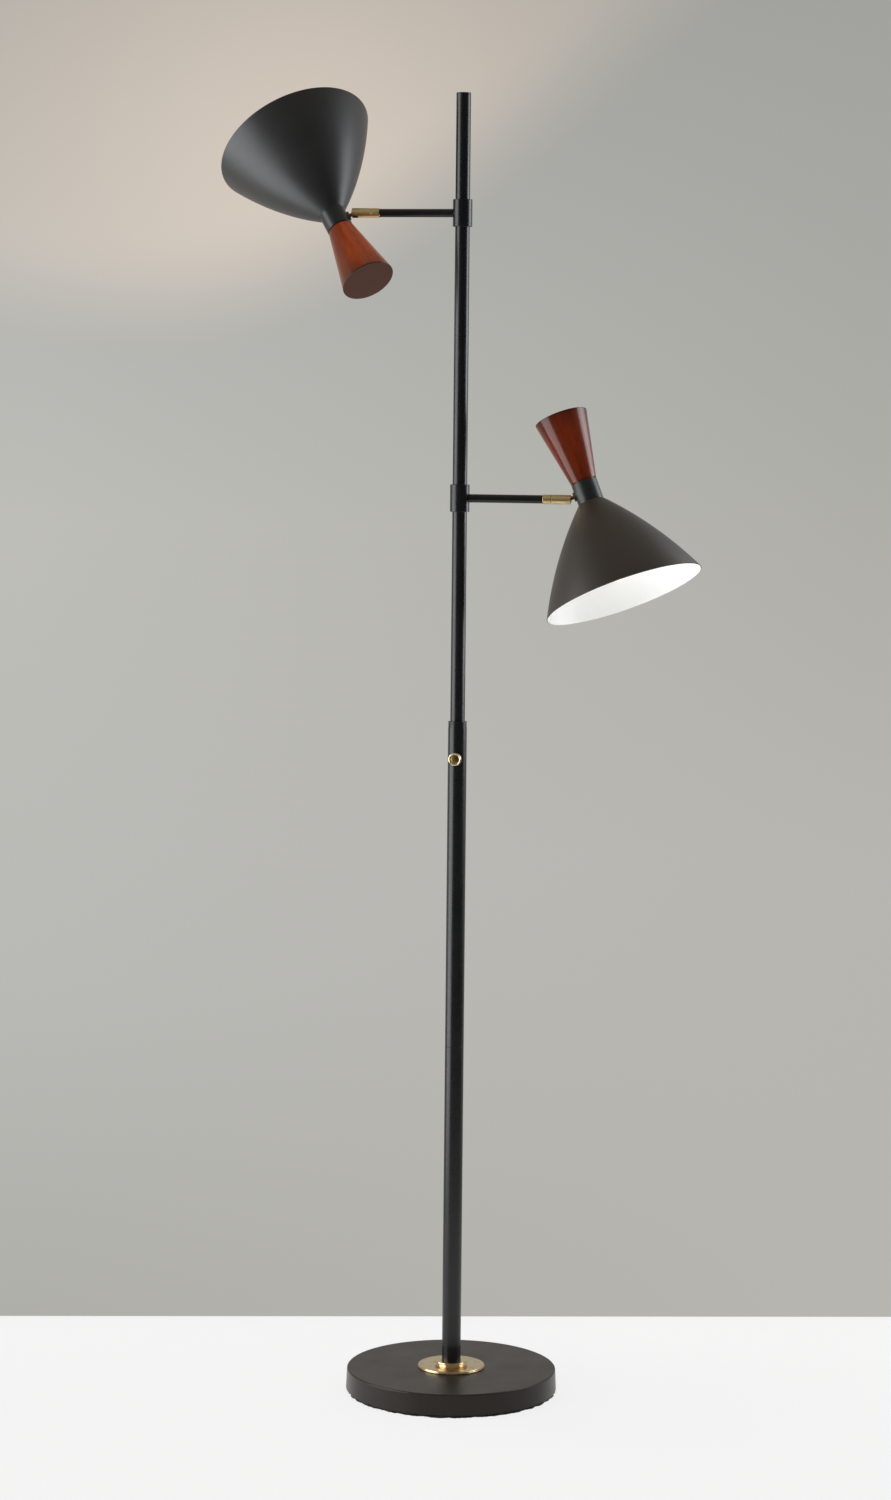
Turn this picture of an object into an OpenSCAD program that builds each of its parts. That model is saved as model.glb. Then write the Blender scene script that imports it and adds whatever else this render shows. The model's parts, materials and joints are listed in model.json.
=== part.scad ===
// Two-headed standing lamp: a weighted round base, a stepped tube pole, two
// cross arms at different heights and two cone shades with wooden handles.
// Millimetres, +Z up. The origin is the centre of the underside, on the pole
// axis. The lower arm points along +X and the upper arm along -X. The switch
// knob faces -Y and the cord inlet is at the back, on +Y.

/* [Base] */
// Diameter of the base cover at its lower edge
base_d = 280; // [230:1:340]
// How much less the cover's radius is at its top edge
cover_draft = 1.25; // [0:0.05:3]
// Height of the base cover
cover_h = 27; // [22:0.5:40]
// Sheet thickness of the base cover
cover_wall = 1.5; // [1:0.1:2.5]
// Radius of the rounded top edge of the cover
cover_edge_r = 2; // [1.6:0.1:4]
// Thickness of the felt pad under the base
pad_h = 3.4; // [2:0.1:6]
// How far the pad's edge lies inside the cover's lower edge
pad_inset = 3; // [1:0.5:8]
// Radial room between the iron weight and the inside of the cover
weight_gap = 2.7; // [2:0.1:5]
// Diameter of the pocket for the nut under the weight
pocket_d = 60; // [48:1:90]
// Room in that pocket under the end of the tie pipe
pocket_spare = 1.4; // [0.5:0.1:3]
// Width of the cord channel in the weight
channel_w = 13; // [9:0.5:20]

/* [Rosette and fixing] */
// Diameter of the brass plate on the base
rosette_d = 89; // [60:1:120]
// Thickness of the brass plate
rosette_t = 3.6; // [2.5:0.1:6]
// How far the lip of the brass flange stands out from the pole
flange_reach = 9.25; // [6:0.05:15]
// How far that lip stands out from the flange below it
flange_lip = 2.75; // [1:0.05:4]
// Height of the flange
flange_h = 5.4; // [4:0.1:9]
// Diameter of the threaded pipe that ties the base to the pole
tie_d = 9.8; // [8:0.1:12]
// Diameter of the wire way in the threaded pipe
tie_bore_d = 6.8; // [5:0.1:7]
// Diameter of the large washer under the weight
washer_d = 40; // [26:1:44]
// Thickness of the large washer
washer_t = 2; // [1:0.1:2.5]
// Width across the flats of the hexagon nut
nut_af = 17; // [14:0.5:20]
// Thickness of the hexagon nut
nut_t = 6; // [4:0.1:6.5]

/* [Cord inlet] */
// Diameter of the cord hole in the rubber grommet
inlet_bore_d = 6.4; // [4:0.1:7]
// Diameter of the grommet where it passes the cover
inlet_d = 9; // [8:0.1:10]
// Diameter of the grommet's two flanges
inlet_flange_d = 12.4; // [11:0.1:12.6]
// Thickness of each grommet flange
inlet_flange_t = 1.3; // [1:0.1:1.5]

/* [Pole] */
// Overall height of the lamp
lamp_h = 1728; // [1440:1:2100]
// Outer diameter of the two lower tubes
tube_d = 25; // [22:0.1:30]
// Wall of the lower tubes
tube_wall = 1.2; // [1:0.1:2]
// Height of the joint between the two lower tubes
joint_h = 459; // [380:1:560]
// Distance from the lower arm down to the top of the thick part of the pole
step_drop = 297; // [60:1:340]
// Wall of the step piece between the lower and the upper tube
step_sleeve = 1.45; // [1:0.05:3]
// Wall of the upper tube
upper_wall = 1.2; // [1:0.1:1.6]
// Height of the ring that shows between the two lower tubes
joint_ring_h = 1.6; // [1:0.1:4]
// How far the joint piece reaches into each tube
joint_reach = 26; // [15:1:50]
// Height of the two beads of the step piece that show on top of the tube
step_beads_h = 7; // [6:0.1:12]
// Length of the step piece inside the tube
step_reach = 25; // [18:1:40]
// Thickness of the cap on top of the pole
cap_h = 2; // [1:0.1:5]
// Radial clearance of pieces that push into a tube
slip = 0.05; // [0.03:0.01:0.2]

/* [Switch] */
// Gap between the switch body and the step piece above it
switch_room = 2; // [1:0.5:60]
// Diameter of the knob
knob_d = 17; // [14:0.5:19]
// Length of the knob
knob_l = 6.6; // [5.6:0.1:12]
// Width of the rim around the knob's dished face
knob_rim = 2.5; // [1.4:0.1:4]
// Diameter of the switch's threaded bushing
bushing_d = 10; // [8:0.1:11]
// Diameter of the switch shaft
shaft_d = 6; // [4:0.1:6.4]
// Height of the switch body
switch_body_h = 30; // [20:1:50]

/* [Arms] */
// Distance from the top of the lamp down to the upper arm
upper_arm_drop = 160; // [40:1:300]
// Distance from the upper arm down to the lower arm
arm_spacing = 379; // [300:1:460]
// Wall of the collars on the pole
collar_wall = 3.2; // [2:0.1:6]
// Height of the collars
collar_h = 36.4; // [26:0.1:50]
// Outer diameter of the arm tubes
arm_d = 11.2; // [10.6:0.1:12]
// Wall of the arm tubes
arm_wall = 1.5; // [1:0.1:1.6]
// Length of an arm from its collar to the brass ring
arm_l = 99; // [85:1:140]
// How deep an arm is let into its collar
arm_seat = 0.8; // [0.4:0.1:1.2]
// Diameter of the wires to the heads
lead_d = 2.8; // [2:0.1:2.8]

/* [Swivels] */
// Wall of the turning barrel around the ball
barrel_wall = 1.55; // [1.2:0.05:3]
// Length of the brass ring on the arm
ring_l = 11; // [9:0.5:16]
// Length of the turning barrel
barrel_l = 26.2; // [24:0.1:34]
// Seam between the ring and the barrel
barrel_seam = 0.3; // [0.1:0.05:0.6]
// Diameter of the ball in the barrel
ball_d = 9.4; // [7.8:0.1:12]
// Distance of the ball's centre from the open end of the barrel
ball_inset = 4.5; // [4:0.1:5]
// Depth of the slot in the barrel's side
slot_l = 9; // [8.5:0.1:11]
// Diameter of the stem on the ball
stem_d = 5; // [4:0.1:6]
// Diameter of the washer between the stem and the head
stem_washer_d = 12.4; // [9:0.1:14]
// Running clearance around the ball and in the slot
ball_gap = 0.3; // [0.25:0.01:0.4]
// Running clearance of the turning barrel on its pin
pin_gap = 0.05; // [0.03:0.01:0.08]

/* [Heads] */
// Distance from the ball's centre to the face of the neck
stem_reach = 10.5; // [8.5:0.5:20]
// Gap between the lamp socket and the inside of the neck
neck_gap = 0.4; // [0.2:0.1:2]
// Height of the neck
neck_h = 28; // [26:0.5:36]
// Wall of the neck
neck_wall = 1.8; // [1.2:0.1:3]
// Diameter of the open end of a shade
shade_d = 215; // [170:1:250]
// Length of a shade from the neck to its open end
shade_l = 131; // [118:1:170]
// How far the side of a shade bulges beyond a straight cone
shade_bulge = 6.2; // [2:0.1:9]
// Sheet thickness of a shade
shade_wall = 1.1; // [0.8:0.1:1.6]
// How far a wooden handle's narrow end lies inside the edge of the neck
handle_step = 0.3; // [0:0.1:4]
// Diameter of a wooden handle at its wide end
handle_wide_d = 72; // [54:1:90]
// Length of a wooden handle
handle_l = 94; // [70:1:120]
// Rounding of the handle's wide edge
handle_edge_r = 1; // [0.5:0.1:3]

/* [Bulbs] */
// Wall of the lamp socket around its screw shell
socket_wall = 1.65; // [1.2:0.05:3]
// How far the lamp socket reaches past the bulb's screw cap
socket_lip = 3.4; // [1:0.1:4.1]
// Diameter of the screw cap of a bulb
cap_d = 26; // [22:0.1:32]
// Length of the screw cap of a bulb
cap_l = 29; // [24:0.5:35]
// Diameter of a bulb's glass
bulb_d = 60; // [45:1:65]
// Length of a bulb's glass from its cap
bulb_l = 82; // [75:1:84]

/* [Pose] */
// Turn of the lower head's barrel about its arm
lower_turn = -12; // [-40:1:40]
// Tilt of the lower head's stem from its arm
lower_tilt = 21.5; // [0:0.5:70]
// Turn of the upper head's barrel about its arm
upper_turn = 31; // [-40:1:40]
// Tilt of the upper head's stem from its arm
upper_tilt = 29.5; // [0:0.5:70]

/* [Hidden] */
$fn = 72;
eps = 0.01;
ROOT_NODES = [
    "base_pad", "base_weight", "base_cover", "base_rosette", "pole_flange",
    "tie_pipe", "tie_washer", "tie_nut", "foot_plug", "cord_grommet",
    "lower_tube", "tube_joint", "middle_tube", "step_piece", "upper_tube", "top_cap",
    "switch_body", "switch_nut", "switch_shaft", "switch_knob",
    "arm_nipples", "head_leads", "swivel_pins",
    "upper_collar", "upper_arm", "upper_swivel_ring",
    "lower_collar", "lower_arm", "lower_swivel_ring",
];
HEAD_PIECES = [
    "swivel_barrel", "ball_spring", "ball_and_stem", "stem_washer", "stem_nut",
    "neck", "shade", "shade_ring", "handle", "handle_rod", "lamp_socket",
    "socket_screw_shell", "socket_contact", "bulb_cap", "bulb_glass",
];

// Finishes
black_paint = [0.09, 0.09, 0.09];
brass = [0.72, 0.58, 0.33];
steel = [0.6, 0.6, 0.62];
iron = [0.3, 0.3, 0.31];
felt = [0.06, 0.06, 0.06];
rubber = [0.12, 0.12, 0.12];
red_wood = [0.42, 0.14, 0.06];
socket_black = [0.15, 0.15, 0.16];
shell_metal = [0.8, 0.78, 0.74];
opal = [0.97, 0.96, 0.92];

// Heights in the base
cover_top = pad_h + cover_h;
cover_under = cover_top - cover_wall;
rosette_top = cover_top + rosette_t;
tie_hole_r = tie_d / 2 + 0.3;
// The tie pipe ends this far below its nut and above the foot plug's bottom
tie_below_nut = 1.6;
tie_in_plug = 20;
// The pocket under the weight is as deep as the cord channel
pocket_h = washer_t + nut_t + tie_below_nut + pocket_spare;
pocket_top = pad_h + pocket_h;
foot_plug_h = 22;
inlet_z = pad_h + inlet_flange_d / 2 + 0.8;
base_top_r = base_d / 2 - cover_draft;
weight_r = base_top_r - cover_wall - weight_gap;
// Radius of the cover's outside at a height
function cover_r(z) = base_d / 2 - cover_draft * (z - pad_h) / cover_h;

// Radii and heights in the pole
tube_r = tube_d / 2;
tube_bore_r = tube_r - tube_wall;
upper_r = tube_bore_r - slip - step_sleeve - slip;
upper_bore_r = upper_r - upper_wall;
upper_arm_h = lamp_h - upper_arm_drop;
lower_arm_h = upper_arm_h - arm_spacing;
step_h = lower_arm_h - step_drop;
joint_top = joint_h + joint_ring_h / 2;
joint_bottom = joint_h - joint_ring_h / 2;
middle_top = step_h - step_beads_h;
step_bottom = middle_top - step_reach;
// The upper tube stands on a shoulder this far above the step piece's end
upper_foot = step_bottom + 7;
joint_bore_r = 8;
cap_plug_l = 12;

// Switch, measured forwards from the pole axis. The front corners of its
// square body lie a clearance inside the tube's bore.
switch_h = step_bottom - switch_room - switch_body_h / 2;
switch_corner_gap = 0.12;
switch_half_w = (tube_bore_r - switch_corner_gap) / sqrt(2);
switch_front = switch_half_w;
switch_back = 5;
switch_nut_r = bushing_d / 2 + 1.6;
switch_nut_front = tube_r + 2;
bushing_end = switch_nut_front + 1.7;
knob_back = switch_nut_front + 0.4;
knob_front = knob_back + knob_l;
knob_cavity = bushing_end + 0.6 - knob_back;
dish_depth = 1.3;
knob_face_t = 1.4;
shaft_in_knob = knob_l - dish_depth - knob_face_t - knob_cavity;

// Stations along an arm, measured from the pole axis
collar_r = upper_r + slip + collar_wall;
arm_bore_r = arm_d / 2 - arm_wall;
nipple_r = arm_bore_r - 0.1;
nipple_bore_r = lead_d / 2 + 1.1;
nipple_in = upper_bore_r - 1.5;
nipple_out = collar_r + 13;
arm_start = collar_r - arm_seat;
ring_start = collar_r + arm_l;
ring_end = ring_start + ring_l;
barrel_start = ring_end + barrel_seam;
barrel_end = barrel_start + barrel_l;
ball_x = barrel_end - ball_inset;
spigot_l = 12;
cavity_r = ball_d / 2 + ball_gap;
barrel_r = cavity_r + barrel_wall;
// The lip at the barrel's open end holds the ball in
lip_t = 1.2;
lip_r = sqrt(pow(cavity_r, 2) - pow(ball_inset - lip_t, 2));
slot_w = stem_d + 2 * ball_gap;
barrel_back_t = 3;
pin_bore_r = lead_d / 2 + 0.3;
pin_r = pin_bore_r + 1.05;
pin_head_r = cavity_r - 0.7;
pin_head_start = barrel_start + barrel_back_t + 0.15;
pin_head_end = pin_head_start + 2.2;
pin_in_ring = 8;
cup_start = ball_x - cavity_r - 2.2;
cup_end = ball_x - cavity_r + 1.8;
lead_bend_r = 4;
lead_x = nipple_in - 2.5;

// Stations in a head, measured from the ball's centre along the stem (x) and
// from the stem upwards towards the handle (z)
screw_shell_t = 0.4;
screw_shell_r = cap_d / 2 + 0.2;
socket_bore_r = screw_shell_r + screw_shell_t + slip;
socket_r = socket_bore_r + socket_wall;
neck_bore_r = socket_r + neck_gap;
neck_r = neck_bore_r + neck_wall;
neck_top_t = 3;
head_offset = stem_reach + neck_r;
stem_nut_start = head_offset - neck_bore_r + 0.8;
stem_nut_t = 4;
stem_end = stem_nut_start + stem_nut_t + 2.4;
rod_r = 4.9;
rod_in_handle = 42;
socket_top = -7;
socket_floor_t = 6;
rod_in_socket = 3;
socket_floor = socket_top - socket_floor_t;
contact_t = 1.4;
cap_tip = socket_floor - contact_t - 0.2;
cap_end = cap_tip - cap_l;
socket_end = cap_end - socket_lip;
glass_wall = 1;
shade_top = -neck_h / 2;
ring_nut_h = 5;

// Points of an arc from p to q that bulges by h to the left of the way
function arc_centre(p, q, h) =
    let (c = norm(q - p), r = (c * c / 4 + h * h) / (2 * h),
         m = (p + q) / 2, d = (q - p) / c)
    m + [d[1], -d[0]] * (r - h);
function arc_radius(p, q, h) =
    let (c = norm(q - p)) (c * c / 4 + h * h) / (2 * h);
function arc_between(p, q, h, n, inset = 0) =
    let (m = arc_centre(p, q, h), r = arc_radius(p, q, h),
         a = atan2(p[1] - m[1], p[0] - m[0]), b = atan2(q[1] - m[1], q[0] - m[0]))
    [for (i = [0:n]) let (t = a + (b - a) * i / n) m + (r - inset) * [cos(t), sin(t)]];
// Points of a quarter round, or of any arc, about a centre
function round_pts(cx, cz, r, a, b, n = 6) =
    [for (i = [0:n]) let (t = a + (b - a) * i / n) [cx + r * cos(t), cz + r * sin(t)]];

// A turned piece from points of radius and height
module turned(points) {
    rotate_extrude() polygon(points);
}

// A tube or ring standing on height z
module pipe(r, bore_r, z, h) {
    translate([0, 0, z]) difference() {
        cylinder(r = r, h = h);
        translate([0, 0, -1]) cylinder(r = bore_r, h = h + 2);
    }
}

// A tube lying along +X, from station a to station b
module pipe_x(r, bore_r, a, b) {
    translate([a, 0, 0]) rotate([0, 90, 0]) difference() {
        cylinder(r = r, h = b - a);
        translate([0, 0, -1]) cylinder(r = bore_r, h = b - a + 2);
    }
}

module rod_x(r, a, b) {
    translate([a, 0, 0]) rotate([0, 90, 0]) cylinder(r = r, h = b - a);
}

// A round bar pointing to the front, from distance a to distance b
module rod_front(r, a, b) {
    translate([0, -a, switch_h]) rotate([90, 0, 0]) cylinder(r = r, h = b - a);
}

// A hexagon nut with a bore, standing on height z
module hex_nut(af, bore_r, z, h) {
    translate([0, 0, z]) difference() {
        cylinder(d = af / cos(30), h = h, $fn = 6);
        translate([0, 0, -1]) cylinder(r = bore_r, h = h + 2);
    }
}

// The frame of an arm: x outwards along the arm. The lower arm's frame is the
// lamp's own, lifted; the upper arm's is turned half round about Y.
module lower_arm_frame() {
    translate([0, 0, lower_arm_h]) children();
}

module upper_arm_frame() {
    translate([0, 0, upper_arm_h]) rotate([0, 180, 0]) children();
}

module both_arm_frames() {
    lower_arm_frame() children();
    upper_arm_frame() children();
}

// ---------------------------------------------------------------- base

module base_pad() {
    color(felt) cylinder(r = base_d / 2 - pad_inset, h = pad_h);
}

module base_weight() {
    color(iron) difference() {
        translate([0, 0, pad_h]) cylinder(r = weight_r, h = cover_under - pad_h);
        translate([0, 0, pad_h - 1]) cylinder(d = pocket_d, h = pocket_h + 1);
        translate([-channel_w / 2, 0, pad_h - 1]) cube([channel_w, base_d, pocket_h + 1]);
        cylinder(r = tie_hole_r, h = cover_top + 1);
    }
}

module base_cover() {
    outer_foot = base_d / 2;
    inner_edge_r = max(cover_edge_r - cover_wall, 0.3);
    color(black_paint) difference() {
        turned(concat(
            [[0, cover_under], [0, cover_top]],
            round_pts(base_top_r - cover_edge_r, cover_top - cover_edge_r, cover_edge_r, 90, 0),
            [[outer_foot, pad_h], [outer_foot - cover_wall, pad_h]],
            round_pts(base_top_r - cover_wall - inner_edge_r, cover_under - inner_edge_r,
                inner_edge_r, 0, 90)
        ));
        cylinder(r = tie_hole_r, h = cover_top + 1);
        translate([0, weight_r, inlet_z]) rotate([-90, 0, 0]) cylinder(d = inlet_d, h = base_d);
    }
}

module base_rosette() {
    r = rosette_d / 2;
    bead = rosette_t * 0.28;
    step = 0.5;
    color(brass) turned(concat(
        [[tie_hole_r, cover_top], [r - bead, cover_top]],
        round_pts(r - bead, cover_top + bead, bead, -90, 0, 4),
        [[r - step, cover_top + 2 * bead - 0.2]],
        round_pts(r - step - bead, rosette_top - bead, bead, 0, 90, 4),
        [[r - step - bead - 1.2, rosette_top - 0.25], [tube_r + 1, rosette_top - 0.25],
         [tube_r, rosette_top], [tie_hole_r, rosette_top]]
    ));
}

module pole_flange() {
    foot = rosette_top - 0.25;
    top = rosette_top + flange_h;
    lip_h = 2.3;
    lip_round = lip_h / 2;
    bore = tube_r + slip;
    r = tube_r + flange_reach;
    neck = r - flange_lip;
    color(brass) turned(concat(
        [[bore + 1, foot], [neck + 0.7, foot], [neck + 0.7, foot + 0.5], [neck, foot + 1.2],
         [neck, top - lip_h - 0.4], [r - lip_round, top - lip_h]],
        round_pts(r - lip_round, top - lip_round, lip_round, -90, 90, 8),
        [[bore + 0.8, top], [bore, top - 0.8], [bore, foot + 0.35]]
    ));
}

module tie_pipe() {
    bottom = pocket_top - washer_t - nut_t - tie_below_nut;
    color(steel) pipe(tie_d / 2, tie_bore_d / 2, bottom, rosette_top + tie_in_plug - bottom);
}

module tie_washer() {
    color(steel) pipe(washer_d / 2, tie_d / 2 + slip, pocket_top - washer_t, washer_t);
}

module tie_nut() {
    color(steel) hex_nut(nut_af, tie_d / 2 + slip, pocket_top - washer_t - nut_t, nut_t);
}

module foot_plug() {
    color(steel) pipe(tube_bore_r - slip, tie_d / 2 + slip, rosette_top, foot_plug_h);
}

module cord_grommet() {
    wall_out = cover_r(inlet_z);
    wall_in = wall_out - cover_wall;
    inner_face = wall_in - 0.35;
    outer_face = wall_out + 0.35;
    color(rubber) translate([0, 0, inlet_z]) rotate([-90, 0, 0]) difference() {
        union() {
            translate([0, 0, inner_face - inlet_flange_t])
                cylinder(d = inlet_flange_d, h = inlet_flange_t);
            translate([0, 0, inner_face - eps])
                cylinder(d = inlet_d - 2 * slip, h = outer_face - inner_face + 2 * eps);
            translate([0, 0, outer_face])
                cylinder(d1 = inlet_flange_d, d2 = inlet_flange_d - 1.2, h = inlet_flange_t);
        }
        translate([0, 0, weight_r]) cylinder(d = inlet_bore_d, h = base_d);
    }
}

// ---------------------------------------------------------------- pole

module lower_tube() {
    color(black_paint) pipe(tube_r, tube_bore_r, rosette_top, joint_bottom - rosette_top);
}

module tube_joint() {
    edge = 0.35;
    spigot = tube_bore_r - slip;
    color(black_paint) turned([
        [joint_bore_r, joint_bottom - joint_reach], [spigot, joint_bottom - joint_reach],
        [spigot, joint_bottom], [tube_r - edge, joint_bottom],
        [tube_r, joint_bottom + edge], [tube_r, joint_top - edge],
        [tube_r - edge, joint_top], [spigot, joint_top],
        [spigot, joint_top + joint_reach], [joint_bore_r, joint_top + joint_reach],
    ]);
}

module middle_tube() {
    color(black_paint) difference() {
        pipe(tube_r, tube_bore_r, joint_top, middle_top - joint_top);
        rod_front(bushing_d / 2 + slip, 0, tube_d);
    }
}

module step_piece() {
    groove = 0.55;
    groove_h = 0.9;
    bead_h = (step_beads_h - 2 * groove_h) / 2;
    edge = 0.7;
    spigot = tube_bore_r - slip;
    bore = upper_r + slip;
    z1 = middle_top + groove_h;
    z2 = z1 + bead_h;
    z3 = z2 + groove_h;
    color(black_paint) turned(concat(
        [[upper_bore_r, step_bottom], [spigot, step_bottom], [spigot, middle_top],
         [tube_r - groove, middle_top], [tube_r - groove, z1],
         [tube_r, z1], [tube_r, z2], [tube_r - groove, z2], [tube_r - groove, z3], [tube_r, z3]],
        round_pts(tube_r - edge, step_h - edge, edge, 0, 90, 4),
        [[bore, step_h], [bore, upper_foot], [upper_bore_r, upper_foot]]
    ));
}

module upper_tube() {
    color(black_paint) difference() {
        pipe(upper_r, upper_bore_r, upper_foot, lamp_h - cap_h - upper_foot);
        both_arm_frames() rod_x(nipple_r + slip, 0, tube_d);
    }
}

module top_cap() {
    edge = 0.5;
    plug = upper_bore_r - slip;
    foot = lamp_h - cap_h;
    color(black_paint) turned([
        [0, foot - cap_plug_l], [plug - edge, foot - cap_plug_l], [plug, foot - cap_plug_l + edge],
        [plug, foot], [upper_r, foot], [upper_r, lamp_h - edge], [upper_r - edge, lamp_h],
        [0, lamp_h],
    ]);
}

// ---------------------------------------------------------------- switch

module switch_body() {
    color(socket_black) difference() {
        union() {
            translate([-switch_half_w, -switch_front, switch_h - switch_body_h / 2])
                cube([2 * switch_half_w, switch_front + switch_back, switch_body_h]);
            rod_front(bushing_d / 2, switch_front - 1, bushing_end);
        }
        rod_front(shaft_d / 2 + pin_gap, switch_front - 4, bushing_end + 1);
    }
}

module switch_nut() {
    color(brass) difference() {
        rod_front(switch_nut_r, tube_r - 2.2, switch_nut_front);
        rod_front(bushing_d / 2 + slip, 0, switch_nut_front + 1);
        translate([0, 0, switch_h - knob_d]) cylinder(r = tube_r + slip, h = 2 * knob_d);
    }
}

module switch_shaft() {
    color(steel)
        rod_front(shaft_d / 2, switch_front - 3.8, knob_back + knob_cavity + shaft_in_knob);
}

module switch_knob() {
    r = knob_d / 2;
    edge = 1.2;
    rim = r - knob_rim;
    cavity_r2 = bushing_d / 2 + 0.5;
    socket = shaft_d / 2 + 0.01;
    depth = knob_cavity + shaft_in_knob + 0.1;
    color(brass) translate([0, -knob_back, switch_h]) rotate([90, 0, 0]) turned(concat(
        [[cavity_r2, 0], [r - 0.5, 0], [r, 0.5]],
        round_pts(r - edge, knob_l - edge, edge, 0, 90, 5),
        [[rim, knob_l], [rim - 0.5, knob_l - dish_depth], [rim - 1.6, knob_l - dish_depth]],
        [for (i = [1:5]) let (x = (rim - 1.6) * (1 - i / 5))
            [x, knob_l - dish_depth + 0.55 * (1 - pow(x / (rim - 1.6), 2))]],
        [[0, depth], [socket, depth], [socket, knob_cavity], [cavity_r2, knob_cavity]]
    ));
}

// ---------------------------------------------------------------- arms

module arm_nipples() {
    color(steel) both_arm_frames() pipe_x(nipple_r, nipple_bore_r, nipple_in, nipple_out);
}

// A wire from the switch up the pole, round a bend and out along an arm
module head_lead(arm_h) {
    start = switch_h + switch_body_h / 2;
    bend_z = arm_h - lead_bend_r;
    r = lead_d / 2;
    translate([lead_x, 0, start]) cylinder(r = r, h = bend_z - start);
    translate([lead_x + lead_bend_r, 0, bend_z]) rotate([90, 0, 0]) rotate([0, 0, 90])
        rotate_extrude(angle = 90) translate([lead_bend_r, 0]) circle(r = r);
    translate([0, 0, arm_h]) rod_x(r, lead_x + lead_bend_r, pin_head_end);
}

module head_leads() {
    color(rubber) {
        head_lead(lower_arm_h);
        mirror([1, 0, 0]) head_lead(upper_arm_h);
    }
}

module swivel_pins() {
    color(steel) both_arm_frames() difference() {
        union() {
            rod_x(pin_r, ring_end - pin_in_ring, pin_head_start + eps);
            rod_x(pin_head_r, pin_head_start, pin_head_end);
        }
        rod_x(pin_bore_r, ring_start, barrel_end);
    }
}

module collar() {
    edge = 0.5;
    bore = upper_r + slip;
    h = collar_h / 2;
    color(black_paint) difference() {
        turned([
            [bore, -h], [collar_r - edge, -h], [collar_r, -h + edge], [collar_r, h - edge],
            [collar_r - edge, h], [bore, h],
        ]);
        rod_x(nipple_r + slip, 0, 2 * collar_r);
        rod_x(arm_d / 2 + slip, arm_start, 2 * collar_r);
    }
}

module arm() {
    color(black_paint) pipe_x(arm_d / 2, arm_bore_r, arm_start, ring_start);
}

module swivel_ring() {
    edge = 0.5;
    spigot = arm_bore_r - slip;
    color(brass) translate([ring_start, 0, 0]) rotate([0, 90, 0]) difference() {
        turned([
            [0, -spigot_l], [spigot, -spigot_l], [spigot, 0], [barrel_r - edge, 0],
            [barrel_r, edge], [barrel_r, ring_l - edge], [barrel_r - edge, ring_l], [0, ring_l],
        ]);
        translate([0, 0, -spigot_l - 1]) cylinder(r = pin_bore_r, h = spigot_l + ring_l + 2);
        translate([0, 0, ring_l - pin_in_ring]) cylinder(r = pin_r + 0.02, h = ring_l);
    }
}

module upper_collar() { upper_arm_frame() collar(); }
module upper_arm() { upper_arm_frame() arm(); }
module upper_swivel_ring() { upper_arm_frame() swivel_ring(); }
module lower_collar() { lower_arm_frame() collar(); }
module lower_arm() { lower_arm_frame() arm(); }
module lower_swivel_ring() { lower_arm_frame() swivel_ring(); }

// ------------------------------------------- pieces that turn with a barrel

module swivel_barrel() {
    edge = 0.5;
    l = barrel_l;
    color(brass) difference() {
        translate([barrel_start, 0, 0]) rotate([0, 90, 0]) turned([
            [pin_r + pin_gap, 0], [barrel_r - edge, 0], [barrel_r, edge],
            [barrel_r, l - edge], [barrel_r - edge, l], [lip_r, l], [lip_r, l - lip_t],
            [cavity_r, l - lip_t - 0.6], [cavity_r, barrel_back_t], [pin_r + pin_gap, barrel_back_t],
        ]);
        translate([barrel_end - slot_l + slot_w / 2, -slot_w / 2, 0])
            cube([slot_l, slot_w, 2 * barrel_r]);
        translate([barrel_end - slot_l + slot_w / 2, 0, 0]) cylinder(d = slot_w, h = 2 * barrel_r);
    }
}

// The spring behind the ball with the cup that it pushes against the ball
module ball_spring() {
    start = pin_head_end + 0.3;
    cup_r = cavity_r - 0.1;
    color(steel) difference() {
        union() {
            pipe_x(cup_r - 0.3, pin_bore_r + 1.4, start, cup_start + eps);
            rod_x(cup_r, cup_start, cup_end);
        }
        translate([ball_x, 0, 0]) sphere(r = cavity_r);
        rod_x(pin_bore_r, barrel_start, ball_x);
    }
}

// ---------------------------------------------- pieces that tilt with a head
// Each is drawn in the head's own frame, whose origin is the ball's centre.

// The stem and its ball are one turned piece
module ball_and_stem() {
    ball_r = ball_d / 2;
    stem_r = stem_d / 2;
    color(brass) rotate([0, 90, 0]) turned(concat(
        round_pts(0, 0, ball_r, -90, acos(stem_r / ball_r), 24),
        [[stem_r, stem_end], [0, stem_end]]
    ));
}

module stem_washer() {
    color(brass) difference() {
        rod_x(stem_washer_d / 2, stem_reach - 1.9, stem_reach + 1.4);
        rod_x(stem_d / 2 + slip, 0, head_offset);
        translate([head_offset, 0, -neck_h / 2]) cylinder(r = neck_r + 0.05, h = neck_h);
    }
}

module stem_nut() {
    color(steel) translate([stem_nut_start, 0, 0]) rotate([0, 90, 0])
        hex_nut(stem_d + 3, stem_d / 2 + slip, 0, stem_nut_t);
}

module neck() {
    edge = 0.5;
    h = neck_h / 2;
    color(black_paint) difference() {
        translate([head_offset, 0, 0]) turned([
            [neck_bore_r, -h], [neck_r, -h], [neck_r, h - edge], [neck_r - edge, h],
            [rod_r + slip, h], [rod_r + slip, h - neck_top_t], [neck_bore_r, h - neck_top_t],
        ]);
        rod_x(stem_d / 2 + slip, 0, head_offset);
    }
}

module shade() {
    p = [neck_r, shade_top];
    q = [shade_d / 2, shade_top - shade_l];
    steps = 18;
    outer = arc_between(p, q, shade_bulge, steps);
    inner = arc_between(p, q, shade_bulge, steps, shade_wall);
    color(black_paint) translate([head_offset, 0, 0]) turned(concat(
        outer,
        [for (i = [steps:-1:0]) inner[i]],
        [[neck_bore_r, shade_top - shade_wall], [neck_bore_r, shade_top]]
    ));
}

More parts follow.
